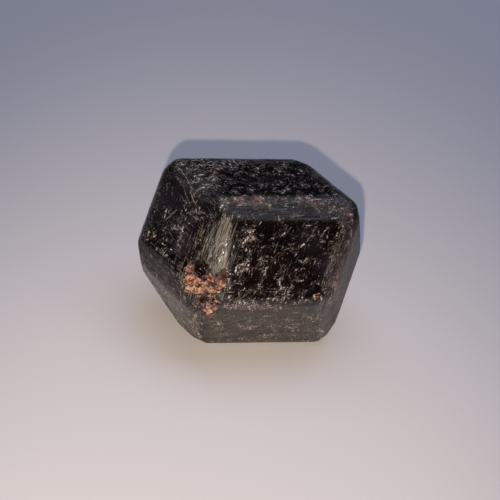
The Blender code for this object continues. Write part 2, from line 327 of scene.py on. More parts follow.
places = vertex_places(garnet)
on_face = {}
for name in faces:
    middle, right, up = face_frame(name)
    away = (places - middle) / MM
    on_face[name] = (away @ right, away @ up, away @ faces[name][0])
face_names = list(faces)
face_normals = np.array([faces[name][0] for name in face_names])
face_distances = np.array([faces[name][1] for name in face_names])
heights = places @ face_normals.T - face_distances
nearest_face = heights.argmax(axis=1)
two_highest = np.sort(heights, axis=1)[:, -2:]
edge_gap = two_highest[:, 1] - two_highest[:, 0]
# An edge is worn most within the first of these distances, and not past the second.
edge_wear = 1 - ramp(edge_gap, 0.9 * MM, 2.6 * MM)
# The low front edge stayed crisp.
below_front = -heights[:, face_names.index("front")]
edge_wear *= 1 - 0.9 * near_face("front_low", -3.0, -1.4) * (
    1 - ramp(below_front, 1.8 * MM, 3.4 * MM)) * ramp(on_face["front"][0], -8.0, -5.0)
in_break = ramp(places @ worn_break[0] - worn_break[1], -0.5 * MM, -0.1 * MM)

# The edge family that each face's growth lines follow, where no band is near.
FACE_GRAIN = {
    "top": 0, "bottom": 0, "front": 1, "back": 1, "front_low": 0, "back_high": 0,
    "left_high": 2, "left_low": 2, "left_back": 3,
    "right_front": 1, "right_high": 2, "right_low": 2,
}
FACE_SHARE = 0.25
BAND_REACH = 2.4 * MM

grain = np.zeros((len(places), 4))
for zone in range(4):
    own = [FACE_GRAIN[name] == zone for name in face_names]
    grain[:, zone] += FACE_SHARE * np.array(own)[nearest_face]
for (one, other), (normal, distance, zone) in bands.items():
    (normal_a, distance_a), (normal_b, distance_b) = faces[one], faces[other]
    below_a = distance_a - places @ normal_a
    below_b = distance_b - places @ normal_b
    reach = np.sqrt(below_a ** 2 + below_b ** 2) / BAND_REACH
    grain[:, zone] += np.exp(-reach ** 2)
grain /= grain.sum(axis=1, keepdims=True)
GRAINS = ("grain_long", "grain_front", "grain_top", "grain_low")
for name, column in zip(GRAINS, grain.T):
    keep_on_vertices(garnet, name, column)

# Strokes run along the edge families and slantwise over the faces, each only on the
# surfaces that its direction lies in.
normals = np.empty(len(garnet.data.vertices) * 3)
garnet.data.vertices.foreach_get("normal", normals)
SLANTS = [*ZONES, unit(0.6 * ZONES[0] - ZONES[1]), unit(1.2 * ZONES[0] + ZONES[2])]
LIES = ("lie_long", "lie_front", "lie_top", "lie_low", "lie_rising", "lie_crossing")
for name, slant in zip(LIES, SLANTS):
    lying = 1 - ramp(np.abs(normals.reshape(-1, 3) @ slant), 0.3, 0.6)
    if name == "lie_long":
        lying[nearest_face == face_names.index("front")] *= 0.7
    keep_on_vertices(garnet, name, lying)

# The hollow at the low end of the wide front-left band, its hole and its tail: their
# outlines on the front face, in millimetres.
FAR = 9.0
HOLLOW_RIM = (
    (-12.83, -2.13), (-12.33, -1.61), (-11.61, -1.37), (-11.01, -1.13), (-10.43, -1.32),
    (-10.18, -2.16), (-9.93, -3.01), (-9.41, -3.35), (-8.7, -2.71), (-7.96, -2.35), (-7.28, -2.57),
    (-7.49, -3.43), (-7.77, -4.43), (-8.36, -5.35), (-9.4, -5.64), (-10.53, -5.5), (-11.6, -5.74),
    (-12.58, -5.42), (-13.09, -5.27), (-13.2, -4.26), (-12.89, -3.12))
TAIL_RIM = (
    (-11.9, -5.2), (-10.9, -4.9), (-9.4, -5.0), (-8.6, -6.2), (-8.5, -7.8), (-8.54, -8.87),
    (-9.37, -9.27), (-10.61, -8.68), (-11.6, -7.2))
HOLE_RIM = (
    (-11.9, -1.4), (-11.4, -1.0), (-10.8, -1.2), (-10.4, -1.9), (-10.6, -2.9), (-11.4, -3.1),
    (-12.0, -2.5))


def away_from(name, start, end):
    """Millimetres from each vertex to a straight run on a face."""
    across, up, _ = on_face[name]
    across, up = across - start[0], up - start[1]
    run_x, run_y = end[0] - start[0], end[1] - start[1]
    share = np.clip((across * run_x + up * run_y) / max(run_x ** 2 + run_y ** 2, 1e-9), 0, 1)
    return np.hypot(across - share * run_x, up - share * run_y)


def inside_rim(name, rim, soft):
    """1 inside a closed outline on a face, 0 outside, soft across its rim."""
    across, up, _ = on_face[name]
    nearest = np.full(len(places), FAR)
    inside = np.zeros(len(places), dtype=bool)
    for (x0, y0), (x1, y1) in zip(rim, rim[1:] + rim[:1]):
        run_x, run_y = x1 - x0, y1 - y0
        nearest = np.minimum(nearest, away_from(name, (x0, y0), (x1, y1)))
        inside ^= ((y0 > up) != (y1 > up)) & (across < x0 + (up - y0) * run_x / (run_y or 1e-9))
    return ramp(np.where(inside, nearest, -nearest), -soft, soft) * on_front_side


on_front_side = (places @ faces["front"][0] > 0).astype(float)
# The tail is shallow where it leaves the hollow and full at its end.
tail_fill = 0.3 + 0.3 * ramp(-on_face["front"][1], 6.6, 8.0)
hollow = np.maximum(
    inside_rim("front", HOLLOW_RIM, 0.4), tail_fill * inside_rim("front", TAIL_RIM, 0.8))
hole = inside_rim("front", HOLE_RIM, 0.6)
# Its rosy places, and its shaded places whose shade is painted into the colour: face, right, up,
# width, height, turn, softness, reach, share.
rosy = laid((
    ("front", -8, -3, 2.8, 2.8, 0, 0.6, 8, 1), ("front", -12.1, -2, 2.2, 2.6, 0, 0.6, 8, 1),
    ("front", -10.6, -3.6, 4.4, 1.6, 0, 0.6, 8, 0.7), ("front", -10, -8, 5, 3.6, 0, 0.4, 8, 1)))
shade = laid((
    ("front", -10.9, -2.2, 3.6, 3.8, 0, 0.7, 8, 1), ("front", -8.3, -3.3, 4, 3.8, 30, 0.8, 8, 0.9),
    ("front", -9.4, -4.3, 2.6, 1.6, 0, 0.8, 8, 0.5),
    ("front", -10.6, -6.6, 4.4, 2.2, 0, 0.7, 8, 0.85)))

# Pale flecks: face, right, up, width, height, turn, and how thick they lie.
flecked = laid((
    ("left_high", 0, 0, 24, 20, 0, 0.72), ("left_high", 1.5, 0, 9, 12, 0, 1.2),
    ("front", 0, 0, 36, 22, 0, 0.5), ("front", -8.6, 5.6, 6, 4.5, 0, 0.85),
    ("front", -5.2, 0.5, 6, 13, -15, 1.05), ("front", -6.5, -5.4, 7, 5.6, 0, 1.1),
    ("top", 0, 0, 34, 22, 0, 0.74), ("top", -9.6, 1, 9, 10, 0, 0.6), ("top", -5, 3.6, 9, 4, 0, 1),
    ("top", 3.5, 3.9, 8, 2.6, 0, 1), ("top", -3.5, -5.3, 17, 2.6, 0, 1.25),
    ("top", 6, -5.3, 12, 2.4, 0, 1.1), ("left_high", -0.8, 5.3, 5, 10, -20, 0.65),
    ("left_high", 1.2, 2, 4, 5, 0, 0.9), ("left_high", -2, -1.8, 4, 3, 0, 0.6),
    ("left_high", 0.2, -5.9, 13, 1.1, 0, 1.5), ("left_low", 0, 3.5, 12, 11, 0, 0.95),
    ("front", -4.9, 1.5, 7, 9, 60, 0.85), ("front", -1, -1.5, 12, 8, 35, 0.66),
    ("front", -1, -5.4, 20, 5, 0, 0.72), ("front", -1, -6.9, 24, 2.6, 0, 1),
    ("front", 8.8, -5.2, 6, 4.5, 0, 1.2), ("front_low", -3, 5.7, 20, 3.4, 0, 1.5),
    ("front", 9, 6.6, 8, 3, 0, 0.95), ("right_front", -1, 2, 12, 24, 0, 1),
    ("right_front", -4.2, -0.5, 3.6, 7, 0, 1.3),
), 0.48 + 0.14 * edge_wear)

# Clean, smooth places that kept their polish.
polished = laid((
    ("left_high", -3, 0.5, 14, 13, 0, 0.6), ("left_high", -5.8, 0.8, 5.5, 8, -15, 0.9),
    ("left_high", 1.5, -3, 6, 4.5, 30, 0.9), ("left_low", 2.4, 3.6, 5, 4, 0, 0.6),
    ("front", 5, 2.2, 6, 6, 0, 0.5), ("front", 7.5, -1.5, 6, 5, 0, 0.5),
    ("top", 0.8, 0.5, 5, 4, 0, 0.3),
))

# Rusty and earthy stains.
stained = laid((
    ("top", -7.5, 2.6, 6, 4, 0, 0.6), ("top", -3.4, -5.3, 14, 2.6, 0, 0.9),
    ("top", 6, -5.5, 8, 2, 0, 0.6), ("front", 10.5, 6, 5, 5, 0, 0.8),
    ("front", 8.6, -5.5, 6, 4, 0, 0.9), ("front_low", -1, 4.8, 22, 4, 0, 0.8),
    ("front_low", 0, 0, 34, 24, 0, 0.4), ("front", 0, 0, 36, 22, 0, 0.25),
    ("front", -8, 2.5, 5, 10, 15, 0.4), ("front", -8, -4.6, 5, 6, 0, 0.5),
    ("right_front", -3.2, -1, 4, 5, 0, 0.95), ("right_front", 0, 0, 16, 26, 0, 1),
    ("left_high", -4.1, -4.8, 2.4, 2.4, 0, 0.8),
))

# Rubbed dull: the right side, the low left side by its top edge, and beside the hollow.
dulled = np.maximum.reduce([
    near_face("right_front", -0.6, -0.1) * 0.8,
    near_face("left_low", -2.1, -1.5) * (1 - near_face("left_low", -0.8, -0.2)),
    patch("front", -8.9, -1.9, 5.0, 3.2, 0, 0.8, 8.0) * 0.6])
over_band = np.max([places @ normal - distance for normal, distance in wide_planes], axis=0)
wide_band = ramp(over_band, -0.7 * MM, -0.2 * MM)
wide_band *= 1 - 0.9 * ramp(on_face["front"][1], 3.2, 6.4)
# The scratched upper left corner.
net = 0.85 * laid((
    ("top", -9, 4.4, 10, 6, 0, 0.6, 6, 1), ("left_high", -3, 5.8, 6.5, 5, -20, 0.6, 6, 1),
    ("top", -4, 4.5, 8, 4, 0, 0.6, 4, 0.8)))
# The low sides, finely brushed: below the front, below the left, and the right one less.
low_sides = np.maximum.reduce([
    ramp(-places[:, 2], -0.5 * MM, 2.5 * MM) * (
        near_face("front_low", -1.2, -0.2) * ramp(below_front, 1.2 * MM, 4.0 * MM)
        + near_face("left_low", -1.2, -0.2)),
    near_face("left_low", -2.1, -1.5) * 0.4 * ramp(below_front, 0.4 * MM, 1.6 * MM),
    near_face("right_front", -0.5, -0.1) * 0.6])
flecked = np.maximum(flecked * (1 - 0.7 * wide_band), 0.85 * low_sides)

for name, values in {
    "edge_wear": edge_wear, "wide_band": wide_band, "flecked": flecked, "polished": polished,
    "stained": stained, "rosy": rosy, "shade": shade, "hollow": hollow, "hole": hole,
    "break": in_break, "low_sides": low_sides, "dulled": dulled, "net": net,
    "free": 1 - near_face("bottom", -0.5, -0.15),
}.items():
    keep_on_vertices(garnet, name, np.clip(values, 0, 1.5))


# --------------------------------------------------
# Single marks.  The longer scratches, chips and cracks that a handled stone
# collects, each a stroke on one face.  Pale ones show crushed stone and mica, dark
# ones a crack, and one grey line on the front is a painted sheen line.

def linear(colour):
    """A hex sRGB colour as linear RGBA."""
    channels = [int(colour[i:i + 2], 16) / 255 for i in (1, 3, 5)]
    return (*(c / 12.92 if c <= 0.04045 else ((c + 0.055) / 1.055) ** 2.4 for c in channels), 1.0)


MARK_TONES = {
    "mica": "#b0a49a", "cream": "#d2c6ba", "ash": "#8f8b89",
    "rust": "#b08a80", "ochre": "#a58c74", "amber": "#875c40",
}
# Width, strength, then the right and up of each point, all in hundredths, of a
# millimetre and of full strength.
MARKS = {("top", "mica"): (
    (42, 70, -129, -561, -82, -596, -78, -638), (28, 95, 271, -615, 282, -615),
    (28, 90, 829, -633, 841, -633), (24, 70, 633, -627, 645, -630), (26, 85, 967, -295, 983, -295),
    (20, 75, -1258, 557, -1197, 581), (20, 70, -1099, 554, -1068, 441, -1005, 329, -943, 217),
    (20, 65, -945, 558, -921, 416, -890, 303), (20, 70, -736, 137, -873, -33, -965, -171),
    (30, 90, -862, 9, -751, 137, -690, 251, -613, 309, -523, 410, -464, 569),
    (21, 50, -965, -76, -923, -20), (24, 60, -837, 503, -809, 376, -778, 263),
    (22, 60, -814, 475, -748, 434, -663, 407), (33, 65, -624, 494, -570, 523, -523, 467),
    (20, 50, -481, 397, -450, 341, -443, 256), (20, 50, -411, 427, -312, 449, -231, 460),
    (27, 50, -333, 372, -326, 287), (26, 80, 479, 577, 443, 446, 425, 331),
    (24, 60, 479, 461, 517, 456), (27, 60, 961, -290, 981, -292), (33, 50, -606, -334, -602, -402),
    (33, 65, -502, -567, -395, -562), (27, 50, -764, -543, -706, -569),
    (27, 55, -718, -487, -743, -519), (36, 60, -132, -575, -79, -581, -80, -645),
    (36, 50, 127, -499, 200, -477), (22, 60, 629, -491, 728, -499), (24, 45, 543, -435, 632, -398),
), ("top", "rust"): (
    (70, 55, -286, -439, -270, -498, -222, -483), (32, 65, -9, -489, 33, -510, 81, -524),
    (42, 60, 125, -509, 208, -473), (45, 50, -914, 416, -929, 330),
    (75, 50, -266, -476, -194, -497),
), ("top", "ash"): (
    (28, 60, 415, -479, 422, -521), (26, 60, 578, -371, 584, -454), (22, 60, -226, 394, -141, 396),
    (33, 60, -40, 341, -18, 336), (21, 60, 22, 394, 85, 424, 153, 468),
    (24, 70, 388, 103, 394, 46, 391, -33),
    (24, 65, 401, -61, 357, -95, 306, -161, 236, -251, 165, -308, 26, -310),
    (27, 50, -336, 4, -257, 14), (22, 35, -439, -62, -393, -61), (24, 50, -233, -92, -189, -124),
    (27, 55, -101, -5, -29, -24), (27, 40, 3, -73, 65, -72), (30, 50, -543, -216, -447, -201),
    (24, 50, -377, -330, -339, -357), (22, 40, 273, -49, 335, -48), (20, 40, 606, 127, 644, 99),
    (27, 45, 592, 30, 620, -6), (24, 50, 520, -129, 565, -111, 653, -104),
    (22, 45, 444, -150, 483, -177, 595, -217), (21, 35, 745, -159, 794, -152),
    (36, 55, 423, -456, 412, -500),
), ("top", "ochre"): (
    (40, 70, -503, -570, -395, -562), (30, 75, 251, 299, 327, 292, 413, 265),
    (18, 45, 233, 396, 375, 402), (18, 55, 435, 340, 527, 333),
), ("top", "cream"): (
    (30, 65, -752, -522, -714, -480), (30, 60, -739, -494, -716, -536),
    (28, 95, -558, -514, -544, -518), (36, 85, -172, -465, -143, -511),
    (30, 75, 48, -420, 90, -433, 77, -481), (30, 80, 623, -497, 712, -499, 745, -488),
    (24, 85, -844, 361, -752, 476, -659, 536), (24, 80, -558, -514, -549, -514),
    (27, 60, -162, -456, -147, -507), (33, 85, 274, -615, 283, -616),
    (27, 65, 830, -633, 839, -633),
), ("top", "dark"): (
    (39, 70, 666, -439, 853, -436),
), ("left_high", "mica"): (
    (20, 70, -835, 513, -722, 509, -549, 483, -344, 425, -170, 354),
    (20, 65, -509, 379, -339, 287, -176, 228), (22, 70, -712, 398, -580, 372),
    (20, 60, -801, 221, -690, 164), (24, 80, -317, 371, -181, 312, -67, 276),
    (22, 70, -377, -124, -339, -30, -333, 44), (20, 60, -421, -293, -393, -187, -377, -124),
    (27, 55, -394, -147, -366, -108, -363, -71, -350, -19), (22, 55, -333, 18, -323, 24),
    (24, 45, -581, 168, -557, 147), (30, 55, -569, 396, -553, 352), (22, 55, -243, 152, -216, 119),
    (24, 50, -229, 55, -199, 33), (27, 60, -344, 425, -295, 414, -295, 349),
    (27, 50, -170, 249, -151, 295), (27, 70, 43, 151, 94, 165, 140, 152, 177, 145),
    (42, 60, 70, 211, 89, 249, 136, 264), (24, 50, -229, -298, -178, -284, -113, -315),
    (24, 50, -203, -484, -189, -479), (22, 45, -99, -482, -26, -502),
    (22, 45, -172, -528, -91, -543), (30, 50, -29, -545, 17, -546), (30, 70, 150, -579, 181, -589),
    (27, 55, 480, -368, 531, -318), (24, 55, 298, -126, 336, -168),
), ("left_high", "ash"): (
    (21, 30, -492, -301, -448, -238, -410, -157),
    (22, 40, -371, -368, -355, -305, -322, -258, -295, -233), (21, 50, -664, -442, -616, -484),
), ("left_high", "cream"): (
    (75, 60, -418, -495, -396, -463),
), ("left_high", "dark"): (
    (33, 70, 298, 117, 349, 11), (27, 60, 312, 297, 330, 219),
), ("left_low", "mica"): (
    (26, 50, -132, 748, -25, 746),
), ("front", "mica"): (
    (30, 70, 759, -551, 734, -579), (24, 75, 847, 522, 910, 530, 966, 540),
    (22, 65, 32, 568, 28, 504), (27, 50, -5, 437, 10, 433), (36, 55, 337, 124, 327, 78),
    (24, 50, 948, 408, 938, 370), (27, 50, 1072, 408, 1072, 388), (27, 50, 849, -72, 880, -95),
    (36, 65, 455, -61, 428, -105), (33, 60, 412, -206, 424, -212), (27, 50, 289, -226, 332, -213),
    (27, 50, 70, 64, 97, 116), (22, 50, 101, 56, 192, 82), (24, 50, -93, 217, -47, 231, -31, 203),
    (30, 45, -396, 216, -336, 231, -290, 202), (33, 50, -235, 97, -182, 116),
    (30, 55, -292, -88, -240, -62), (24, 50, -278, -506, -248, -466),
    (27, 55, -380, -466, -379, -487), (27, 50, -409, -512, -394, -523),
    (30, 45, -567, -551, -567, -584), (26, 45, -635, -705, -590, -668),
    (27, 55, -29, -359, -11, -323), (39, 50, 229, -437, 260, -466), (36, 55, 315, -375, 346, -389),
    (33, 55, 551, -404, 531, -441), (26, 55, 813, -553, 822, -562), (27, 50, 611, -583, 673, -569),
), ("front", "cream"): (
    (30, 75, 31, 533, 34, 490), (30, 95, 841, 518, 906, 524, 962, 541),
    (28, 80, 808, 562, 820, 559), (45, 85, 372, 112, 418, 148), (33, 70, 771, 262, 775, 233),
    (36, 75, 927, 310, 917, 262), (30, 60, -228, -42, -219, -42), (30, 55, -164, -42, -140, -42),
    (42, 60, -190, -308, -168, -244, -161, -205, -131, -190), (26, 65, -521, -277, -512, -280),
    (38, 65, -695, -593, -680, -594), (27, 70, 72, -499, 133, -475), (28, 65, 2, -547, 17, -555),
    (28, 65, 46, -569, 46, -583), (33, 70, 127, -559, 124, -580), (36, 70, 377, -385, 392, -389),
    (27, 70, 796, -410, 801, -430), (50, 90, 585, -600, 596, -650), (66, 95, 697, -620, 718, -668),
), ("front", "amber"): (
    (62, 90, 646, -615, 653, -675),
), ("front", "ash"): (
    # The first of these, across the band below the top edge, is a painted sheen line.
    (24, 50, 204, 540, 313, 552, 430, 563), (27, 50, 605, 399, 578, 363, 556, 327),
    (24, 35, 530, 464, 569, 428, 615, 460), (24, 40, 518, 276, 488, 225, 458, 182),
    (22, 45, 525, -71, 594, -68),
), ("front", "dark"): (
    (36, 70, 704, -579, 764, -514), (40, 60, 797, -752, 787, -625, 816, -538),
    (26, 90, 660, -630, 662, -650), (36, 90, 185, 523, 432, 529, 678, 529),
    (24, 50, 764, -514, 719, -565, 688, -594), (27, 70, -613, 330, -644, 201),
    (27, 60, -985, -21, -993, -78), (27, 60, -673, 101, -686, -28), (33, 50, -421, 331, -322, 331),
    (30, 60, -887, -600, -890, -674),
), ("front_low", "mica"): (
    (30, 70, 517, 533, 543, 500), (30, 70, 836, 154, 865, 119), (34, 70, 700, 625, 734, 574),
    (26, 50, 1004, 223, 920, 267), (24, 60, 747, 479, 828, 390), (33, 60, -414, 548, -343, 514),
    (33, 55, -310, 579, -268, 490), (30, 60, -219, 612, -177, 544, -165, 577),
    (27, 55, -75, 619, -80, 576), (42, 60, 210, 538, 261, 504), (33, 60, 496, 550, 558, 476),
    (27, 60, -319, 371, -304, 375), (30, 50, 840, 140, 858, 124), (30, 60, 702, 635, 725, 586),
), ("front_low", "ash"): (
    (28, 65, -128, -72, -80, -52, 11, -71), (22, 65, -451, -392, -401, -376, -330, -408),
    (22, 50, -793, 74, -717, 129), (21, 45, -716, -194, -666, -182), (20, 45, 332, -78, 387, -79),
    (20, 50, 745, -490, 862, -459),
), ("front_low", "dark"): (
    (30, 80, 840, 704, 816, 662, 822, 537, 818, 422),
), ("right_front", "dark"): (
    (36, 70, -559, -84, -577, 58, -540, 107), (30, 70, -412, -127, -494, 9),
), ("right_front", "mica"): (
    (33, 60, -120, 571, -68, 524), (36, 55, -459, 112, -454, 95),
), ("right_front", "rust"): (
    (80, 60, -338, 182, -412, 100), (30, 50, -306, -253, -279, -122, -267, 12),
    (26, 60, -350, 371, -385, 274), (130, 75, -423, 162, -285, 39),
), ("right_front", "ochre"): (
    (50, 60, -250, -68, -337, -108), (50, 60, -397, -163, -460, -187),
    (34, 60, -468, -204, -525, -18, -512, 98), (120, 65, -533, -35, -382, -200),
), ("right_front", "cream"): (
    (34, 90, -462, 113, -449, 99), (30, 80, -408, -173, -378, -194), (28, 60, -465, 207, -502, 157),
    (30, 55, -423, -168, -384, -191),
)}


# A mark ends this far below its face's plane, and is drawn slightly narrower than
# listed, but never too narrow for the mesh.
MARK_REACH = 3.2
MARK_SHARE, MARK_LEAST = 0.85, 0.06


def stroke(name, points, width):
    """1 on a stroke's middle line, 0 at half its width, below 0 outside."""
    runs = [away_from(name, *run) for run in zip(points, points[1:])]
    value = 1 - np.minimum.reduce([np.full(len(places), FAR), *runs]) / (0.5 * width)
    return np.where(on_face[name][2] > -MARK_REACH, value, -1.0)


mark = np.full(len(places), -1.0)
mark_strength = np.zeros(len(places))
mark_colour = np.tile(np.array(linear(MARK_TONES["mica"])), (len(places), 1))
dark = np.full(len(places), -1.0)
for (name, tone), strokes in MARKS.items():
    for hundredths in strokes:
        width, strength, *run = (value / 100 for value in hundredths)
        points = list(zip(run[::2], run[1::2]))
        value = stroke(name, points, MARK_SHARE * width + MARK_LEAST)
        if tone == "dark":
            dark = np.maximum(dark, np.where(value > 0, value * strength, value))
            continue
        better = (value > mark) & (value > -1)
        mark[better] = value[better]
        mark_strength[better] = strength
        mark_colour[better] = linear(MARK_TONES[tone])

for name, values in (("mark", mark), ("mark_strength", mark_strength), ("dark", dark)):
    keep_on_vertices(garnet, name, values)
layer = garnet.data.attributes.new("mark_colour", "FLOAT_COLOR", "POINT")
layer.data.foreach_set("color", mark_colour.astype(np.float32).ravel())


# --------------------------------------------------
# The finish.  Almandine garnet, near black with a brown-violet cast: a glassy
# stone dulled by handling, with pale mica flecks pressed into its skin.

# What the next trees are wired from: a node, its fields, its inputs in order, its output.
LEVELS = ("Value", "From Min", "From Max", "To Min", "To Max")
SUMS = {"times": "MULTIPLY", "plus": "ADD", "minus": "SUBTRACT", "most": "MAXIMUM", "snap": "SNAP"}
WIRING = {
    **{word: ("ShaderNodeMath", {"operation": SUMS[word]}, (0, 1), 0) for word in SUMS},
    "ease": ("ShaderNodeMapRange", {"interpolation_type": "SMOOTHSTEP"}, LEVELS, 0),
    "slope": ("ShaderNodeMapRange", {"interpolation_type": "LINEAR"}, LEVELS, 0),
    "lay": ("ShaderNodeMix", {"data_type": "RGBA"}, (0, 6, 7), 2),
    "swap": ("ShaderNodeMix", {"data_type": "FLOAT"}, (0, 2, 3), 0),
    "shift": ("ShaderNodeVectorMath", {"operation": "MULTIPLY_ADD"}, (0, 1, 2), 0),
    "lumps": ("ShaderNodeTexNoise", {}, ("Vector", "Scale", "Detail", "Roughness", "Distortion"), 0),
}


def wire(tree, word, *values):
    """Adds what a word of WIRING stands for and gives its output.

    Sums and the like take any number of values, and a group in brackets in a sum is a
    product.  A hex colour is turned linear, and what isn't given stays as the node has it.
    """
    kind, fields, sockets, output = WIRING[word]
    values = [linear(value) if isinstance(value, str) else value for value in values]
    if word == "plus":
        values = [wire(tree, "times", *v) if isinstance(v, tuple) else v for v in values]
    if word in SUMS and len(values) > 2:
        values = wire(tree, word, *values[:-1]), values[-1]
    return add_node(tree, kind, zip(sockets, values), **fields).outputs[output]


def blotches(tree, position, size, detail, roughness, *levels):
    """A share that comes and goes over lumps of one size, in metres."""
    lumps = wire(tree, "lumps", position, 1 / size, detail, roughness)
    return wire(tree, "ease", lumps, *levels)


def turn_to(slant):
    """The turn that lays X along a direction."""
    x = Vector(slant)
    y = x.orthogonal().normalized()
    return Matrix((x, y, x.cross(y))).transposed().to_euler()


def strokes_along(tree, position, slant, width, stretch, detail=2.0, roughness=0.5):
    """Noise drawn out along one direction; width in metres."""
    turned = add_node(
        tree, "ShaderNodeVectorRotate", {"Vector": position, "Rotation": tuple(turn_to(slant))},
        rotation_type="EULER_XYZ", invert=True)
    scale = (1 / (width * stretch), 1 / width, 1 / width)
    scaled = add_node(
        tree, "ShaderNodeVectorMath", {0: turned.outputs[0], 1: scale}, operation="MULTIPLY")
    return wire(tree, "lumps", scaled.outputs[0], 1.0, detail, roughness)


def grained(tree, carried, position, *noise):
    """Strokes that follow the growth lines wherever they turn from edge to edge."""
    return wire(tree, "plus", *[
        wire(tree, "times", strokes_along(tree, position, zone, *noise), carried[name])
        for zone, name in zip(ZONES, GRAINS)])


# What the surface carries into the finish, past the directions of its strokes.
CARRIED = (
    "flecked", "stained", "polished", "edge_wear", "wide_band", "low_sides", "dulled", "net",
    "mark", "mark_strength", "dark", "rosy", "shade", "bite", "pit")

# Real sizes.  Hairlines and flecks are often finer than a tenth of a millimetre, and are
# drawn at the width where they still show.
CLOUD = 4 * MM
CLUSTER = 1.5 * MM
GROWTH_SPACING = 0.2 * MM
WIDE_SPACING = 0.24 * MM
HAIR_WIDTH = 0.2 * MM
FLECK_WIDTH = 0.25 * MM
GRIT = 0.25 * MM
NET_CELL = 1.1 * MM
CRUMB = 0.34 * MM
CLUMP = 1.0 * MM
FINE_RELIEF = 0.07 * MM
# Fresh almandine is near 1.8; a handled, greasy skin throws back less.
SKIN_IOR = 1.54


def garnet_finish():
    """Near-black stone with a wet gloss, broken by pale grain, brushing along the edges and rust,
    with painted highlight streaks on the widest band and painted shade in the hollow.
    """
    material = bpy.data.materials.new("worn almandine")
    material.use_nodes = True
    tree = material.node_tree
    put = functools.partial(wire, tree)
    shader = tree.nodes["Principled BSDF"]
    place = tree.nodes.new("ShaderNodeTexCoord").outputs["Object"]
    carried = {name: add_node(tree, "ShaderNodeAttribute", attribute_name=name).outputs["Fac"]
               for name in (*CARRIED, *GRAINS, *LIES)}
    flecked, stained, polished, edge_wear, wide_band, low_sides, dulled, net = (
        carried[name] for name in CARRIED[:8])

    # The glassy body: nearly black, violet where it kept its polish, brown where stained.
    cloud = put("lumps", place, 1 / CLOUD, 4.0, 0.6)
    body = put("lay", put("ease", cloud, 0.38, 0.62), "#090608", "#050406")
    for share, over in (
            (polished, "#252027"), (put("times", low_sides, 0.7), "#1c1719"),
            (put("times", stained, put("ease", cloud, 0.4, 0.6), 0.8), "#2c1c15")):
        body = put("lay", share, body, over)

    # Where flecks gather: clusters a few millimetres wide.
    cluster = blotches(tree, place, CLUSTER, 3.0, 0.6, 0.3, 0.7, -0.55, 0.55)
    amount = put("plus", flecked, cluster, (polished, -0.2))

    # Nothing runs quite straight.
    bend = add_node(tree, "ShaderNodeTexNoise", {"Vector": place, "Scale": 1 / (2 * MM)})
    bent, crossing = (put("shift", bend.outputs["Color"], (reach * MM,) * 3, place)
                      for reach in (0.5, 1.6))

    # Growth lines a fifth of a millimetre apart: long on the widest band, short on the rest.
    short_lines = grained(tree, carried, place, GROWTH_SPACING, 10.0, 3.0, 0.7)
    long_lines = put(
        "plus", (strokes_along(tree, place, ZONES[1], WIDE_SPACING, 26.0, 3.0, 0.65), 0.5),
        (grained(tree, carried, place, GROWTH_SPACING, 50.0, 2.0, 0.6), 0.5))
    growth = put("swap", wide_band, short_lines, long_lines)
    # Pale lines along the growth lines: brushing on the edges and the low sides, and on the widest
    # band partly painted highlight, bright streaks where its lines catch the lamp.
    brushing_and_highlight_streaks = put("times", put("ease", growth, 0.52, 0.58), put(
        "plus", (edge_wear, 0.14), (wide_band, 0.3), (low_sides, 0.2)))
    colour = put("lay", brushing_and_highlight_streaks, body, "#a3968a")

    # Dull hairline scratches, and over them short pale flecks of mica, along each direction.
    fleck_tone = put("lumps", place, 1 / (0.5 * MM), 3.0, 0.7)
    hair_level = put("slope", amount, 0.0, 1.4, 0.66, 0.53)
    fleck_level = put("slope", amount, 0.0, 1.4, 0.74, 0.58)
    hairs, flecks = [], []
    for slant, lie_name in zip(SLANTS, LIES):
        for found, level, soft, shape in (
                (hairs, hair_level, 0.05, (HAIR_WIDTH, 9.0, 3.0, 0.7)),
                (flecks, fleck_level, 0.03, (FLECK_WIDTH, 6.0, 3.0, 0.65))):
            field = strokes_along(tree, bent, slant, *shape)
            over = put("ease", put("minus", field, level), 0.0, soft)
            found.append(put("times", over, carried[lie_name]))
    hair = put("most", *hairs)
    grit = put("lumps", place, 1 / GRIT, 3.0, 0.75)
    grit_over = put("minus", grit, put("plus", fleck_level, 0.01))
    # A net of hair-thin scratches where the corner was rubbed.
    cell_gap = add_node(tree, "ShaderNodeTexVoronoi", {"Vector": crossing, "Scale": 1 / NET_CELL},
                        feature="DISTANCE_TO_EDGE").outputs["Distance"]
    strands = put("times", put("ease", cell_gap, 0.04, 0.09, 1.0, 0.0), net,
                  blotches(tree, place, 0.6 * MM, 3.0, 0.6, 0.44, 0.56))
    strokes = put("most", *flecks, put("ease", grit_over, 0.0, 0.03), strands)
    hair_colour = put("lay", polished, "#6a5f5c", "#6c6570")
    hair_share = put("times", hair, put("ease", fleck_tone, 0.35, 0.65, 0.2, 0.75))
    colour = put("lay", hair_share, colour, hair_colour)
    pale = put("times", strokes, put("ease", fleck_tone, 0.38, 0.62, 0.25, 1.0))
    fleck_colour = put("lay", put("ease", fleck_tone, 0.4, 0.64), "#94898a", "#fbf4f0")
    fleck_colour = put("lay", put("times", stained, 0.85), fleck_colour, "#b88f7e")
    colour = put("lay", pale, colour, fleck_colour)

    # Single marks, a little ragged and broken.
    ragged = blotches(tree, place, 0.22 * MM, 2.0, 0.5, 0.3, 0.7, -0.4, 0.2)
    broken = blotches(tree, place, 0.3 * MM, 3.0, 0.6, 0.38, 0.6, 0.25, 1.0)
    mark_share = put("times", put("ease", put("plus", carried["mark"], ragged), 0.15, 0.6),
                     carried["mark_strength"], broken)
    mark_tone = add_node(tree, "ShaderNodeAttribute", attribute_name="mark_colour")
    colour = put("lay", mark_share, colour, mark_tone.outputs["Color"])
    dark_share = put("times", put("ease", put("plus", carried["dark"], ragged), 0.1, 0.5), 0.85)
    colour = put("lay", dark_share, colour, "#0a070a")
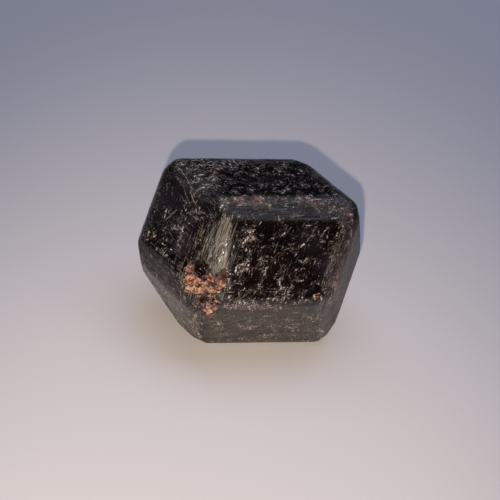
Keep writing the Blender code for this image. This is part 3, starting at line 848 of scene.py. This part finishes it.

    # The rusty filling of the hollow: orange crumbs, rosy at its ends, with painted shade dark
    # between them and on its shaded places, painted highlights on its lit crumbs, and its clumps
    # painted lighter and darker as painted light and shade.
    crumbs = put("lumps", place, 1 / CRUMB, 3.0, 0.7)
    clumps = put("lumps", place, 1 / CLUMP, 3.0, 0.6)
    bite, pit = carried["bite"], carried["pit"]
    rust = put("lay", put("ease", clumps, 0.38, 0.58), "#4c2318", "#cb997c")
    rosy = put("lay", put("ease", clumps, 0.36, 0.58), "#4c2422", "#b78880")
    rust = put("lay", carried["rosy"], rust, rosy)
    uneven = put("ease", clumps, 0.35, 0.65, 0.25, -0.25)
    shaded = put("ease", put("plus", carried["shade"], uneven), 0.25, 0.8)
    lit = put("ease", put("plus", crumbs, (shaded, -0.05)), 0.57, 0.63, 0.0, 0.75)
    for share, over in (
            (put("times", shaded, 0.85), "#31140f"),
            (put("ease", crumbs, 0.4, 0.47, 0.85, 0.0), "#220c0a"), (lit, "#f3dcc8")):
        rust = put("lay", share, rust, over)
    crumbled = put("ease", crumbs, 0.3, 0.7, -0.3, 0.45)
    filled = put("times", put("ease", put("plus", bite, crumbled), 0.15, 0.4),
                 put("ease", bite, 0.02, 0.2))
    colour = put("lay", filled, colour, rust)
    # The hole is painted near-black: painted shade down in the hole.
    crumbled = put("ease", crumbs, 0.3, 0.7, -0.3, 0.3)
    hole_shade = put("times", put("ease", put("plus", pit, crumbled), 0.25, 0.6),
                put("ease", pit, 0.05, 0.3))
    colour = put("lay", put("times", hole_shade, 0.97), colour, "#060101")
    tree.links.new(colour, shader.inputs["Base Color"])

    # Glossy where it is whole; duller on every mark, stain and rubbed place, and down in
    # the lines of the widest band.
    dull = put("most", pale, mark_share, filled, put("times", hair, 0.5))
    smear = blotches(tree, place, 0.7 * MM, 3.0, 0.6, 0.4, 0.65, 0.0, 0.05)
    off_band = put("ease", wide_band, 0.0, 1.0, 1.0, 0.0)
    rough = put("plus", (dull, 0.3), (edge_wear, off_band, 0.04), smear, (wide_band, 0.03),
                (put("ease", growth, 0.46, 0.55), wide_band, 0.24), (stained, 0.16), 0.07)
    for share, level in ((dulled, 0.48), (hole_shade, 0.08)):
        rough = put("swap", share, rough, level)
    tree.links.new(rough, shader.inputs["Roughness"])
    shader.inputs["IOR"].default_value = SKIN_IOR

    # What is too fine for the mesh: growth lines, scratches and crumbs.
    open_air = put("ease", hole_shade, 0.0, 1.0, 1.0, 0.0)
    line_share = put("plus", (wide_band, 1.4), (edge_wear, 2.4), (low_sides, 1.3), 0.2)
    height = put("plus", (strokes, 0.4), (grit, off_band, 0.5), (mark_share, 0.6),
                 (growth, line_share, open_air), (crumbs, filled, open_air, 2.0))
    bump = add_node(
        tree, "ShaderNodeBump", {"Height": height, "Distance": FINE_RELIEF, "Strength": 1.0})
    tree.links.new(bump.outputs[0], shader.inputs["Normal"])
    return material


almandine = garnet_finish()


# --------------------------------------------------
# The relief.  Growth lines along the bands, shallow waves and pits on the faces,
# and the rough hollow, all cut into the worn body.

STEP = 0.08


def relief_tree():
    """Cuts the surface inwards by the sum of all that has worn or etched it."""
    tree = geometry_tree("relief", [
        ("Line depth", "NodeSocketFloat", 0.14 * MM),
        ("Wave depth", "NodeSocketFloat", 0.05 * MM),
        ("Step depth", "NodeSocketFloat", 0.02 * MM),
        ("Pit depth", "NodeSocketFloat", 0.08 * MM),
        ("Mark depth", "NodeSocketFloat", 0.04 * MM),
        ("Crack depth", "NodeSocketFloat", 0.12 * MM),
        ("Hollow depth", "NodeSocketFloat", 0.5 * MM),
        ("Hole depth", "NodeSocketFloat", 0.9 * MM),
        ("Break depth", "NodeSocketFloat", 0.5 * MM),
        ("Finish", "NodeSocketMaterial", None),
    ])
    put = functools.partial(wire, tree)
    start = tree.nodes.new("NodeGroupInput")
    depth = start.outputs
    position = tree.nodes.new("GeometryNodeInputPosition").outputs[0]
    normal = tree.nodes.new("GeometryNodeInputNormal").outputs[0]
    carried = {
        name: add_node(tree, "GeometryNodeInputNamedAttribute", {"Name": name},
                       data_type="FLOAT").outputs["Attribute"]
        for name in ("edge_wear", "wide_band", "hollow", "hole", "mark", "mark_strength", "dark",
                     "break", "free", *GRAINS)}
    wide_band = carried["wide_band"]

    lines = grained(tree, carried, position, 0.5 * MM, 14.0, 1.0)
    lined = put("most", wide_band, put("times", carried["edge_wear"], 0.5))
    waves = blotches(tree, position, 5 * MM, 2.0, 0.5, 0.3, 0.7)
    steps = put("snap", put("lumps", position, 1 / (4 * MM), 1.0, 0.4, 0.6), STEP)
    pits = blotches(tree, position, 0.9 * MM, 2.0, 0.5, 0.56, 0.72)
    rough = blotches(tree, position, 0.9 * MM, 4.0, 0.7, 0.3, 0.7, 0.1, 1.4)
    ragged = blotches(tree, position, 0.7 * MM, 3.0, 0.6, 0.3, 0.7, -0.3, 0.3)
    near = put("ease", carried["hollow"], 0.0, 0.25)
    bite = put("times", put("ease", put("plus", carried["hollow"], (ragged, 1.4)), 0.1, 0.9), near)
    pit = put("times", put("ease", put("plus", carried["hole"], (ragged, 1.2)), 0.0, 0.7), near)
    scars = add_node(tree, "ShaderNodeTexVoronoi", {"Vector": position, "Scale": 1 / (4 * MM)})

    cut = put(
        "plus",
        (lines, lined, depth["Line depth"]),
        (waves, depth["Wave depth"]),
        (put("most", put("minus", steps, 5 * STEP), 0.0), depth["Step depth"], 1 / STEP),
        (pits, put("ease", wide_band, 0.0, 1.0, 0.6, 0.1), depth["Pit depth"]),
        (put("ease", carried["mark"], 0.0, 0.8), carried["mark_strength"], depth["Mark depth"]),
        (put("ease", carried["dark"], 0.0, 0.8), depth["Crack depth"]),
        (bite, rough, depth["Hollow depth"]),
        (pit, depth["Hole depth"]),
        (scars.outputs["Distance"], carried["break"], depth["Break depth"]),
    )
    cut = put("times", cut, carried["free"], -1.0)
    offset = add_node(tree, "ShaderNodeVectorMath", {0: normal, "Scale": cut}, operation="SCALE")
    shape = start.outputs["Geometry"]
    for name, value in (("bite", bite), ("pit", pit)):
        kept = add_node(
            tree, "GeometryNodeStoreNamedAttribute",
            {"Geometry": shape, "Name": name, "Value": value}, data_type="FLOAT", domain="POINT")
        shape = kept.outputs[0]
    moved = add_node(
        tree, "GeometryNodeSetPosition", {"Geometry": shape, "Offset": offset.outputs[0]})
    smooth = add_node(tree, "GeometryNodeSetShadeSmooth", {"Geometry": moved.outputs[0]})
    solid = add_node(tree, "GeometryNodeRealizeInstances", {"Geometry": smooth.outputs[0]})
    finished = add_node(tree, "GeometryNodeSetMaterial",
                        {"Geometry": solid.outputs[0], "Material": depth["Finish"]})
    add_node(tree, "NodeGroupOutput", {"Geometry": finished.outputs[0]})
    return tree


grow(garnet, relief_tree(), {"Finish": almandine})
# A ridge may stand a hair above the wear: the whole is pressed back to its measured size.
garnet.data.transform(Matrix.Translation(lift))
worn = vertex_places(garnet)
garnet.data.transform(Matrix.Translation((0, 0, low_corner[2] - worn[:, 2].min())))
worn = vertex_places(garnet)
press = np.minimum(1.0, high_corner / worn.max(axis=0))
press[:2] = np.minimum(press[:2], low_corner[:2] / worn[:, :2].min(axis=0))
garnet.data.transform(Matrix.Diagonal((*press, 1.0)))
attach(garnet, "root")
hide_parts("garnet_crystal")


# --------------------------------------------------
# The stage: a pale paper floor, a lamp beside the camera, a soft light overhead,
# and the camera.

FLOOR_SIZE = 3.0


def paper():
    """Matt paper: an even pale ground that takes the shadow softly and shines nowhere."""
    material = bpy.data.materials.new("pale matt paper")
    material.use_nodes = True
    shader = material.node_tree.nodes["Principled BSDF"]
    shader.inputs["Base Color"].default_value = linear("#e0dee1")
    shader.inputs["Roughness"].default_value = 0.9
    return material


floor_mesh = bpy.data.meshes.new("floor")
half = FLOOR_SIZE / 2
floor_mesh.from_pydata(
    [(-half, -half, 0), (half, -half, 0), (half, half, 0), (-half, half, 0)], [], [(0, 1, 2, 3)])
floor = bpy.data.objects.new("floor", floor_mesh)
bpy.context.scene.collection.objects.link(floor)
floor_mesh.materials.append(paper())

middle = Vector(lift)


def direction(azimuth, elevation):
    """Towards a place seen from the crystal: 0 is the front, positive to the right."""
    a, e = math.radians(azimuth), math.radians(elevation)
    return Vector((math.sin(a) * math.cos(e), -math.cos(a) * math.cos(e), math.sin(e)))


def add_light(name, kind, place, aim, colour, power, **settings):
    data = bpy.data.lights.new(name, kind)
    data.color = colour
    data.energy = power
    for field, value in settings.items():
        setattr(data, field, value)
    lamp = bpy.data.objects.new(name, data)
    lamp.location = place
    lamp.rotation_euler = (aim - place).to_track_quat("-Z", "Y").to_euler()
    bpy.context.scene.collection.objects.link(lamp)


# The lamp's direction and distance from the crystal, and the spot on the floor it aims at.
LAMP_AZIMUTH, LAMP_ELEVATION, LAMP_DISTANCE = -22.47, 27.31, 0.393
LAMP_AIM = Vector((-0.0197, -0.054, 0))
LAMP_CONE = math.radians(24.0)
LAMP_RADIUS = 0.0025
LAMP_COLOUR, LAMP_WATTS = (1.0, 0.836, 0.679), 6.54
# The softbox hangs level, behind and to the right of the crystal.
SOFTBOX_ASIDE, SOFTBOX_HEIGHT, SOFTBOX_SIZE = Vector((0.059, 0.1193, 0)), 0.5, 0.606
SOFTBOX_COLOUR, SOFTBOX_WATTS = (0.718, 0.774, 1.0), 1.403

lamp_place = middle + LAMP_DISTANCE * direction(LAMP_AZIMUTH, LAMP_ELEVATION)
add_light("lamp beside the camera", "SPOT", lamp_place, LAMP_AIM, LAMP_COLOUR, LAMP_WATTS,
          spot_size=LAMP_CONE, spot_blend=1.0, shadow_soft_size=LAMP_RADIUS)
under_softbox = middle + SOFTBOX_ASIDE
add_light("softbox overhead", "AREA", under_softbox + Vector((0, 0, SOFTBOX_HEIGHT)),
          under_softbox, SOFTBOX_COLOUR, SOFTBOX_WATTS, shape="SQUARE", size=SOFTBOX_SIZE)

world = bpy.data.worlds.new("dim room")
world.use_nodes = True
glow = world.node_tree.nodes["Background"].inputs
glow["Color"].default_value = (0.6, 0.62, 0.75, 1.0)
glow["Strength"].default_value = 0.01
bpy.context.scene.world = world
bpy.context.scene.view_settings.view_transform = "Standard"

# A long lens near the stone, tilted a little about its own axis.
VIEW_AZIMUTH, VIEW_ELEVATION, VIEW_ROLL = -21.94, 30.85, 11.71
VIEW_DISTANCE = 0.371
LENS, SENSOR = 180.0, 36.0
camera_data = bpy.data.cameras.new("camera")
camera_data.lens = LENS
camera_data.sensor_width = SENSOR
camera = bpy.data.objects.new("camera", camera_data)
back = direction(VIEW_AZIMUTH, VIEW_ELEVATION)
place = middle + back * VIEW_DISTANCE
level = Vector((math.cos(math.radians(VIEW_AZIMUTH)), math.sin(math.radians(VIEW_AZIMUTH)), 0))
upright = back.cross(level)
roll = math.radians(VIEW_ROLL)
right = level * math.cos(roll) + upright * math.sin(roll)
up = back.cross(right)
camera.matrix_world = Matrix.Translation(place) @ Matrix((right, up, back)).transposed().to_4x4()
bpy.context.scene.collection.objects.link(camera)
bpy.context.scene.camera = camera
